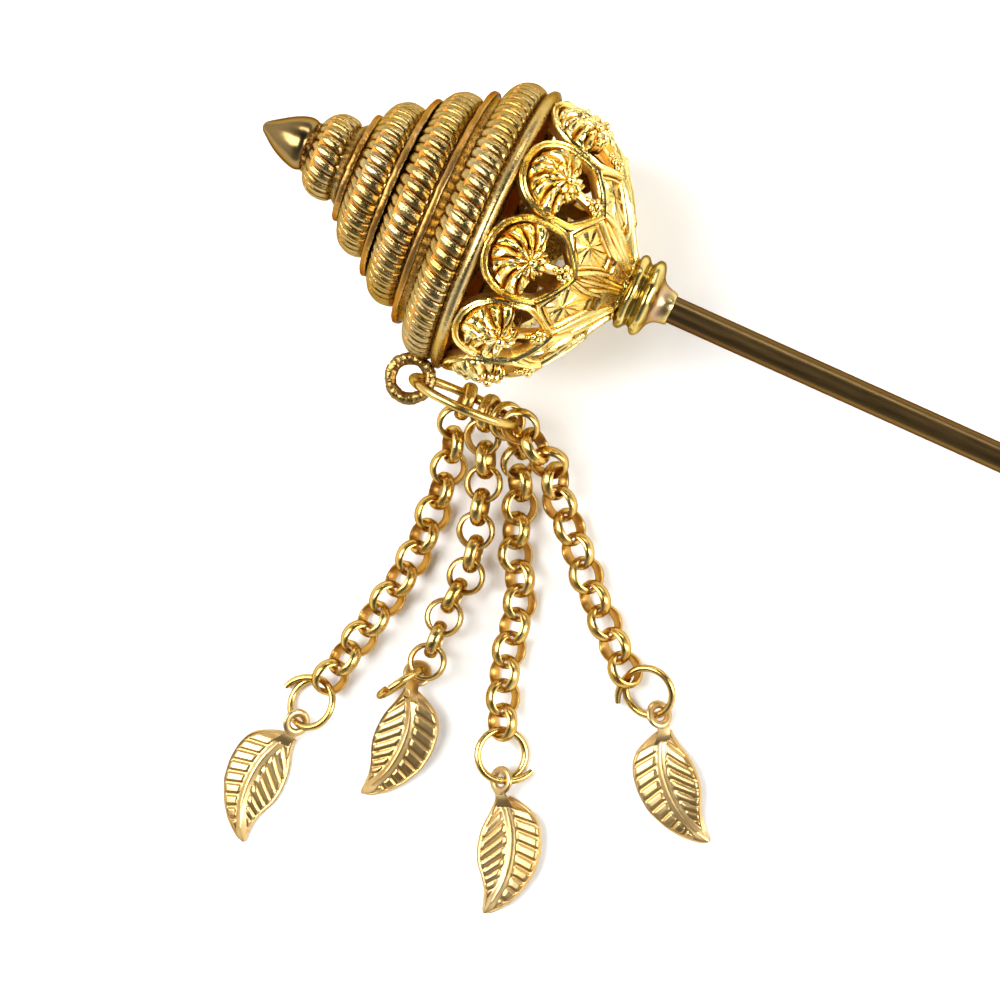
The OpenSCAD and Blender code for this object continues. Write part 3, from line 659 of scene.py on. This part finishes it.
def wire_ring(bm, r, wire, steps=72, around=14, start=0.0, sweep=360.0, tail=0.0, drift=0.0):
    """A ring of round wire in the XY plane. Its end may run on outwards as a tail, and its ends lie
    side by side."""
    closed = sweep >= 360 and not tail
    count = steps if closed else steps + 1
    points, sizes = [], []
    for i in range(count):
        share = i / steps
        turn = radians(start + share * (sweep + (tail > 0) * TAIL_SWEEP))
        past = max(0.0, (degrees(turn) - start - sweep) / TAIL_SWEEP) if tail else 0.0
        out = r + tail * past ** 1.4
        points.append(Vector((out * cos(turn), out * sin(turn), drift * (share - 0.5))))
        sizes.append(mix(1.0, 0.75, ramp((past - 0.7) / 0.3)) if tail else 1.0)
    swept(bm, stations_on(points, lambda i: UP, closed, lambda i: sizes[i]),
          round_section(wire / 2, around), closed)


TAIL_SWEEP = 62.0
EYE_TURN, EYE_AT, EYE_R, EYE_WIRE = -94.5, 18.2, 2.15, 1.3
RING_R, RING_WIRE, RING_DIP, RING_LEAN = 6.0, 1.0, 8.5, 8.5
RING_MIDDLE = (-12.5, -17.9, 11.5)


def chain_eye():
    """The loop of thick wire at the rim, hammered rough all over, its inner side coloured darker and duller
    in uneven blotches.
    """
    bm = new_work()
    wire_ring(bm, EYE_R, EYE_WIRE, 150, 20)
    roughen(bm, 0.9, 0.13, 9)
    roughen(bm, 0.28, 0.1, 10)
    for vert in bm.verts:
        inner = ramp((EYE_R + 0.1 - hypot(vert.co.x, vert.co.y)) / 0.5)
        vert[bm.verts.layers.float["recess"]] = inner * (0.5 + 0.7 * noise.noise(vert.co / 0.35))
    bm.transform(Matrix.Rotation(radians(EYE_TURN), 4, "Z") @ Matrix.Translation((RIM_R + EYE_R, 0, EYE_AT))
                 @ Matrix.Rotation(radians(90), 4, "X"))
    return bm


def chain_ring():
    bm = new_work()
    wire_ring(bm, RING_R, RING_WIRE, 96, 16)
    roughen(bm, 4.0, 0.12, 7)
    bm.transform(Matrix.Translation(RING_MIDDLE) @ Matrix.Rotation(radians(RING_DIP), 4, "Y")
                 @ Matrix.Rotation(radians(90 + RING_LEAN), 4, "X"))
    return bm


# Middles of the links from the large ring to the last link, as chosen in the part's source
ROUTES = [
    [(-13.36, -17.75, 5.14), (-13.5, -20.4, 4.2), (-13, -22.9, 3), (-12.48, -25.36, 2.37),
     (-12.04, -30.82, 1.99), (-11.97, -36.29, 2.15), (-13, -43, 2.1), (-14.97, -52.15, 2.1)],
    [(-10.43, -17.96, 5.58), (-9.97, -20.7, 5.05), (-8.65, -23.01, 4.3), (-7.4, -26.94, 4.04),
     (-6.6, -30.24, 3.84), (-5.8, -33.02, 3.15), (-5.6, -35.6, 2.8), (-6, -38, 2.3), (-6, -41, 2.3),
     (-5.6, -45.9, 2.8)],
    [(-8.01, -17.91, 6.79), (-5.9, -19.76, 5.23), (-5.11, -22.11, 3.35), (-3.69, -25.16, 2.08),
     (-2.04, -30.26, 2.16), (0.77, -34.92, 1.96), (2.6, -43, 2.1), (4.8, -48.5, 2.1)],
    [(-6.02, -17.9, 9.3), (-3.11, -19.57, 7.57), (-1.14, -20.66, 5.27), (-0.36, -22.68, 3.8),
     (0.99, -24.09, 3.06), (3.98, -27.02, 2.63), (8, -31.3, 2.1), (14.75, -37.45, 2.1)]]
ROLLS = [(69, -45), (103, 0), (155, 45), (20, -45)]
SETTLED_AFTER = 7
LINK_PITCH, LINK_R, LINK_WALL, LINK_W = 2.7, 2.2, 0.55, 1.36


def facing(direction, roll):
    """A turn that puts X along a direction and Y in the plane rolled about it from level."""
    side = UP.cross(direction).normalized()
    across = cos(radians(roll)) * side + sin(radians(roll)) * direction.cross(side)
    return Matrix((direction, across, direction.cross(across))).transposed().to_4x4()


def link_places(k):
    line = smooth_curve(ROUTES[k], 8)
    sums = [0.0]
    for here, there in zip(line, line[1:]):
        sums.append(sums[-1] + (there - here).length)
    count = floor(sums[-1] / LINK_PITCH + 0.5)
    places = []
    for i in range(count + 1):
        s = sums[-1] * i / count
        j = min(max(bisect_right(sums, s) - 1, 0), len(line) - 2)
        places.append(line[j].lerp(line[j + 1], (s - sums[j]) / (sums[j + 1] - sums[j])))
    return places


def link_roll(k, i, last):
    first = ROLLS[k][0]
    settled = ROLLS[k][1] - 90 * last
    nearest = settled + 180 * floor((first - settled) / 180 + 0.5)
    return 90 * i + mix(first, nearest, min(i / SETTLED_AFTER, 1))


def link(bm, steps=36):
    """A link: flat inside with a soft edge, rounded outside, and a faint closed seam. Its inner face carries
    painted shade, darkest along the seam.
    """
    inner = LINK_R - LINK_WALL
    half = LINK_W / 2
    section = [(inner, -half * 0.8, 0.5), (inner + 0.06, -half * 0.98, 0.2),
               (inner + LINK_WALL * 0.5, -half * 0.94, 0), (inner + LINK_WALL * 0.86, -half * 0.6, 0),
               (inner + LINK_WALL, 0, 0), (inner + LINK_WALL * 0.86, half * 0.6, 0),
               (inner + LINK_WALL * 0.5, half * 0.94, 0), (inner + 0.06, half * 0.98, 0.2),
               (inner, half * 0.8, 0.5), (inner - 0.02, 0, 0.7)]

    def place(i, j):
        r, z, depth = section[j % len(section)]
        turn = 2 * pi * i / steps
        return Vector((r * cos(turn), r * sin(turn), z)), depth
    return drawn_sheet(bm, steps, len(section), place)


def chain(k):
    bm = new_work()
    places = link_places(k)
    last = len(places) - 1
    for i, place in enumerate(places):
        made = points_of(link(bm))
        direction = (places[min(i + 1, last)] - places[max(i - 1, 0)]).normalized()
        wobble = 5 * noise.noise(Vector((k * 3.7, i * 1.9, 0.5)))
        turn = Matrix.Translation(place) @ facing(direction, link_roll(k, i, last) + wobble)
        bmesh.ops.transform(bm, matrix=turn, verts=made)
    roughen(bm, 1.6, 0.05, k + 1)
    return bm


# ---------------------------------------------------------------- leaves

# middle of the eye, heading of the blade, heading and roll of the ring, eye's place on the ring,
# roll and pitch of the eye, side that shows, rise of the broad and of the narrow half, lift of the foot,
# root of the ring's tail
LEAVES = [
    ((-16.4, -58.45, 1.8), -91, -102, 24, 0, (-38, 0), -1, (0.05, 0.01), 0, -144),
    ((-6.3, -47.7, 1.1), -91, -122, 90, 232, (0, -25), 1, (0.05, 0.01), 2.2, None),
    ((7.3, -54.45, 1.8), -73.5, -67, -24, 0, (36, 0), 1, (0.33, 0.34), 0, 2),
    ((20.2, -40.4, 1.65), -44.5, -20, 24, -22, (-38, 0), -1, (0.05, 0.35), 0, -176)]
LEAF_RING_R, LEAF_RING_WIRE = 2.8, 0.8
LEAF_LEN, LEAF_W, LEAF_T = 15.0, 6.6, 0.42
LEAF_EYE_R, LEAF_HOLE_R = 1.62, 0.7
VEIN_PITCH = 1.26
# share of the length, midrib, broad side, narrow side as shares of the width
BLADE = [(0.13, 0.04, 0.14, -0.06), (0.16, 0.09, 0.38, -0.05), (0.20, 0.14, 0.56, -0.06),
         (0.26, 0.20, 0.69, -0.10), (0.33, 0.26, 0.76, -0.16), (0.40, 0.30, 0.79, -0.20),
         (0.48, 0.32, 0.80, -0.215), (0.56, 0.325, 0.78, -0.21), (0.64, 0.31, 0.74, -0.17),
         (0.72, 0.28, 0.65, -0.09), (0.79, 0.23, 0.56, -0.03), (0.86, 0.16, 0.43, 0.01),
         (0.92, 0.10, 0.29, 0.01), (0.97, 0.04, 0.15, 0.0), (1.00, 0.0, 0.012, -0.012)]
blade_line = [(p.x, p.y, p.z, p.w) for p in smooth_curve(BLADE, 8)]
blade_shares = [row[0] for row in blade_line]


def leaf_ring(k):
    eye, _, ring_heading, ring_roll, eye_on_ring, *_, tail_root = LEAVES[k]
    along = Vector((cos(radians(ring_heading)), sin(radians(ring_heading)), 0))
    turn = facing(along, ring_roll)
    on_ring = radians(eye_on_ring)
    spot = turn @ Vector((LEAF_RING_R * cos(on_ring), LEAF_RING_R * sin(on_ring), 0))
    bm = new_work()
    if tail_root is None:
        wire_ring(bm, LEAF_RING_R, LEAF_RING_WIRE, start=70, sweep=348, drift=0.2)
    else:
        wire_ring(bm, LEAF_RING_R, LEAF_RING_WIRE, 88, start=tail_root - 350, sweep=350, tail=1.05, drift=0.7)
    bm.transform(Matrix.Translation(Vector(eye) - spot) @ turn)
    return bm


def leaf(k):
    eye, heading, _, _, _, eye_turn, side, rises, lift, _ = LEAVES[k]
    columns, rows = 132, 36
    bm = new_work()

    def place(i, j):
        share = mix(0.13, 1.0, i / columns)
        across = 2 * j / rows - 1
        middle, broad, narrow = (looked_up(share, blade_shares, [row[c] for row in blade_line])
                                 for c in (1, 2, 3))
        edge = broad if across > 0 else narrow
        y = LEAF_W * mix(middle, edge, abs(across))
        off = LEAF_W * abs(edge - middle) * abs(across)
        fade = min(1, (1 - share) / 0.1, (share - 0.1) / 0.1)
        # Straight raised bars with round ends beside the midrib; they lean towards the tip
        lean = mix(0.05, 0.5, share) if across > 0 else 0.95
        phase = (LEAF_LEN * share - lean * off) / VEIN_PITCH % 1
        bar = ramp((1 - 2 * abs(phase - 0.5) - 0.2) / 0.28)
        start = ramp((off - 0.6) / 0.3)
        within = ramp((0.93 - abs(across)) / 0.05) * ramp((share - 0.17) / 0.03) * ramp((0.95 - share) / 0.03)
        bars = bar * start * within
        rim = ramp((abs(across) - 0.93) / 0.04)
        rib = ramp(1 - off / 0.72)
        z = 0.7 * (1 - abs(across)) * fade + (0.26 * rib + 0.2 * bars + 0.12 * rim) * fade \
            + off * rises[across <= 0] * fade + lift * (1 - share) + LEAF_T + 0.04
        # The second value is painted shade on the sheet between the vein bars, away from the midrib, the bars
        # and the rim
        return Vector((LEAF_LEN * share, y * side, z)), 0.7 * start * (1 - max(bar * within, rim)) * fade
    faces = drawn_sheet(bm, columns, rows, place, seal=False)
    bm.normal_update()
    if sum(face.normal.z for face in faces) < 0:
        bmesh.ops.reverse_faces(bm, faces=faces)
    bmesh.ops.solidify(bm, geom=faces, thickness=LEAF_T)
    # Eye: a rounded washer, turned so that its ring passes through
    turn = Matrix.Translation((0, 0, eye[2])) @ Matrix.Rotation(radians(eye_turn[1]), 4, "Y") \
        @ Matrix.Rotation(radians(eye_turn[0]), 4, "X")
    wall = (LEAF_EYE_R - LEAF_HOLE_R) / 2
    ring = [Vector((cos(a), sin(a), 0)) * (LEAF_HOLE_R + wall) for a in (2 * pi * i / 40 for i in range(40))]
    washer = swept(bm, stations_on(ring, lambda i: UP, True),
                   [(wall * cos(a), 0.27 * sin(a)) for a in (2 * pi * j / 12 for j in range(12))], True)
    bmesh.ops.transform(bm, matrix=turn, verts=points_of(washer))
    # Neck: twists from the eye's plane down to the blade
    start = turn @ Vector((LEAF_EYE_R - wall, 0, 0))
    sideways = turn.to_3x3() @ Vector((0, 1, 0))
    end = Vector((LEAF_LEN * 0.19, LEAF_W * 0.12 * side, 0.04 + LEAF_T * 0.5 + 0.7 + lift * 0.82))
    neck = []
    for i in range(9):
        t = i / 8
        middle = start.lerp(end, t)
        across = sideways.lerp(Vector((0, 1, 0)), ramp(t)).normalized()
        along = (end - start).normalized()
        size = 1 + 0.35 * (1 - t) ** 2 + 0.55 * t * t
        neck.append((middle, across, across.cross(along).normalized(), size))
    swept(bm, neck, [(-0.62, -0.16), (-0.5, 0.1), (0, 0.28), (0.5, 0.1), (0.62, -0.16), (0, -0.22)])
    bm.transform(Matrix.Translation((eye[0], eye[1], 0)) @ Matrix.Rotation(radians(heading), 4, "Z"))
    return bm


# ---------------------------------------------------------------- the pieces

finished("bud_finial", finial(), ON_AXIS, polished_plate, "finial")
finished("finial_solder", solder_rubble(), ON_AXIS, cone_plate, "finial")
finished("cone_hollow", cone_inside(), ON_AXIS, inside_plate_painted_bounce, "head_cone")
finished("stepped_cone", head_cone(), ON_AXIS, cone_plate, "head_cone")
for k in range(4):
    finished(f"ribbed_band_{k + 1}", rope_band(k), ON_AXIS, cast_plate, f"rope_band_{k + 1}", 60)
finished("pierced_lotus_cup", lotus_cup(), ON_AXIS, cup_plate, "lotus_cup", 38)
finished("turned_collar", collar(), ON_AXIS, collar_plate, "collar")
finished("collar_solder", solder_bead(), ON_AXIS, cup_plate, "collar")
finished("round_stick", stick(), ON_AXIS, rod_plate, "stick")
finished("rim_loop", chain_eye(), ON_AXIS, loop_plate, "chain_eye")
finished("large_jump_ring", chain_ring(), ON_SURFACE, chain_plate, "chain_ring")
for k in range(4):
    finished(f"link_chain_{k + 1}", chain(k), ON_SURFACE, chain_plate, f"chain_{k + 1}", 50)
    finished(f"open_ring_{k + 1}", leaf_ring(k), ON_SURFACE, chain_plate, f"leaf_ring_{k + 1}")
    finished(f"stamped_leaf_{k + 1}", leaf(k), ON_SURFACE, leaf_plate, f"leaf_{k + 1}", 50)


# ---------------------------------------------------------------- floor, light, camera

def floor_sheet():
    bm = bmesh.new()
    bmesh.ops.create_grid(bm, x_segments=1, y_segments=1, size=2.5)
    mesh = bpy.data.meshes.new("floor")
    bm.to_mesh(mesh)
    bm.free()
    paper = bpy.data.materials.new("matt_white_paper")
    paper.use_nodes = True
    shader = paper.node_tree.nodes["Principled BSDF"]
    shader.inputs["Base Color"].default_value = colour("#FAFAF9")
    shader.inputs["Roughness"].default_value = 0.9
    mesh.materials.append(paper)
    floor_piece = bpy.data.objects.new("floor", mesh)
    floor_piece.data.transform(Matrix.Translation((0, 0, -0.00005)))
    bpy.context.scene.collection.objects.link(floor_piece)


def softbox(name, place, size, watts, aim=(0, 0, 0)):
    lamp = bpy.data.lights.new(name, "AREA")
    lamp.shape = "RECTANGLE"
    lamp.size, lamp.size_y = size
    lamp.energy = watts
    piece = bpy.data.objects.new(name, lamp)
    piece.location = place
    piece.rotation_euler = (Vector(aim) - Vector(place)).to_track_quat("-Z", "Y").to_euler()
    bpy.context.scene.collection.objects.link(piece)


def tent():
    """A light tent: bright to the left and right, dimmer before and behind, and dark above,
    where the lens looks in."""
    world = bpy.data.worlds.new("tent")
    world.use_nodes = True
    tree = world.node_tree
    tree.nodes.clear()
    way = add_node(tree, "SeparateXYZ", {0: add_node(tree, "TexCoord").outputs["Generated"]})
    aside = add_node(tree, "Math", {0: way.outputs[0]}, operation="ABSOLUTE").outputs[0]
    walls = add_node(tree, "MapRange", {"Value": aside, "From Min": 0.3, "From Max": 0.85, "To Min": 0.25,
                                        "To Max": 0.95}, interpolation_type="SMOOTHSTEP").outputs[0]
    roof = add_node(tree, "MapRange", {"Value": way.outputs[2], "From Min": 0.3, "From Max": 0.85,
                                       "To Min": 1.0, "To Max": 0.12},
                    interpolation_type="SMOOTHSTEP").outputs[0]
    strength = add_node(tree, "Math", {0: walls, 1: roof}, operation="MULTIPLY").outputs[0]
    glow = add_node(tree, "Background", {"Color": (1, 1, 1, 1), "Strength": strength}).outputs[0]
    add_node(tree, "OutputWorld", {"Surface": glow})
    bpy.context.scene.world = world


floor_sheet()
tent()
softbox("left_box", (-0.36, -0.06, 0.5), (0.36, 0.5), 5.0)
softbox("right_box", (0.5, 0.12, 0.34), (0.26, 0.5), 4.0)
softbox("back_strip", (-0.1, 0.55, 0.3), (0.6, 0.1), 1.2)

camera = bpy.data.cameras.new("camera")
camera.lens = 91.116
camera.sensor_width = 36.0
camera.clip_start = 0.01
viewer = bpy.data.objects.new("camera", camera)
right = Vector((0.90014789, 0.41331256, -0.13750089))
down = Vector((0.41143002, -0.91041733, -0.04319288))
ahead = Vector((-0.14303535, -0.01769201, -0.98955944))
turn = Matrix((right, -down, -ahead)).transposed().to_4x4()
viewer.matrix_world = Matrix.Translation((-0.0033925, 0.007540, 0.2812545)) @ turn
bpy.context.scene.collection.objects.link(viewer)
bpy.context.scene.camera = viewer
bpy.context.scene.view_settings.view_transform = "Standard"
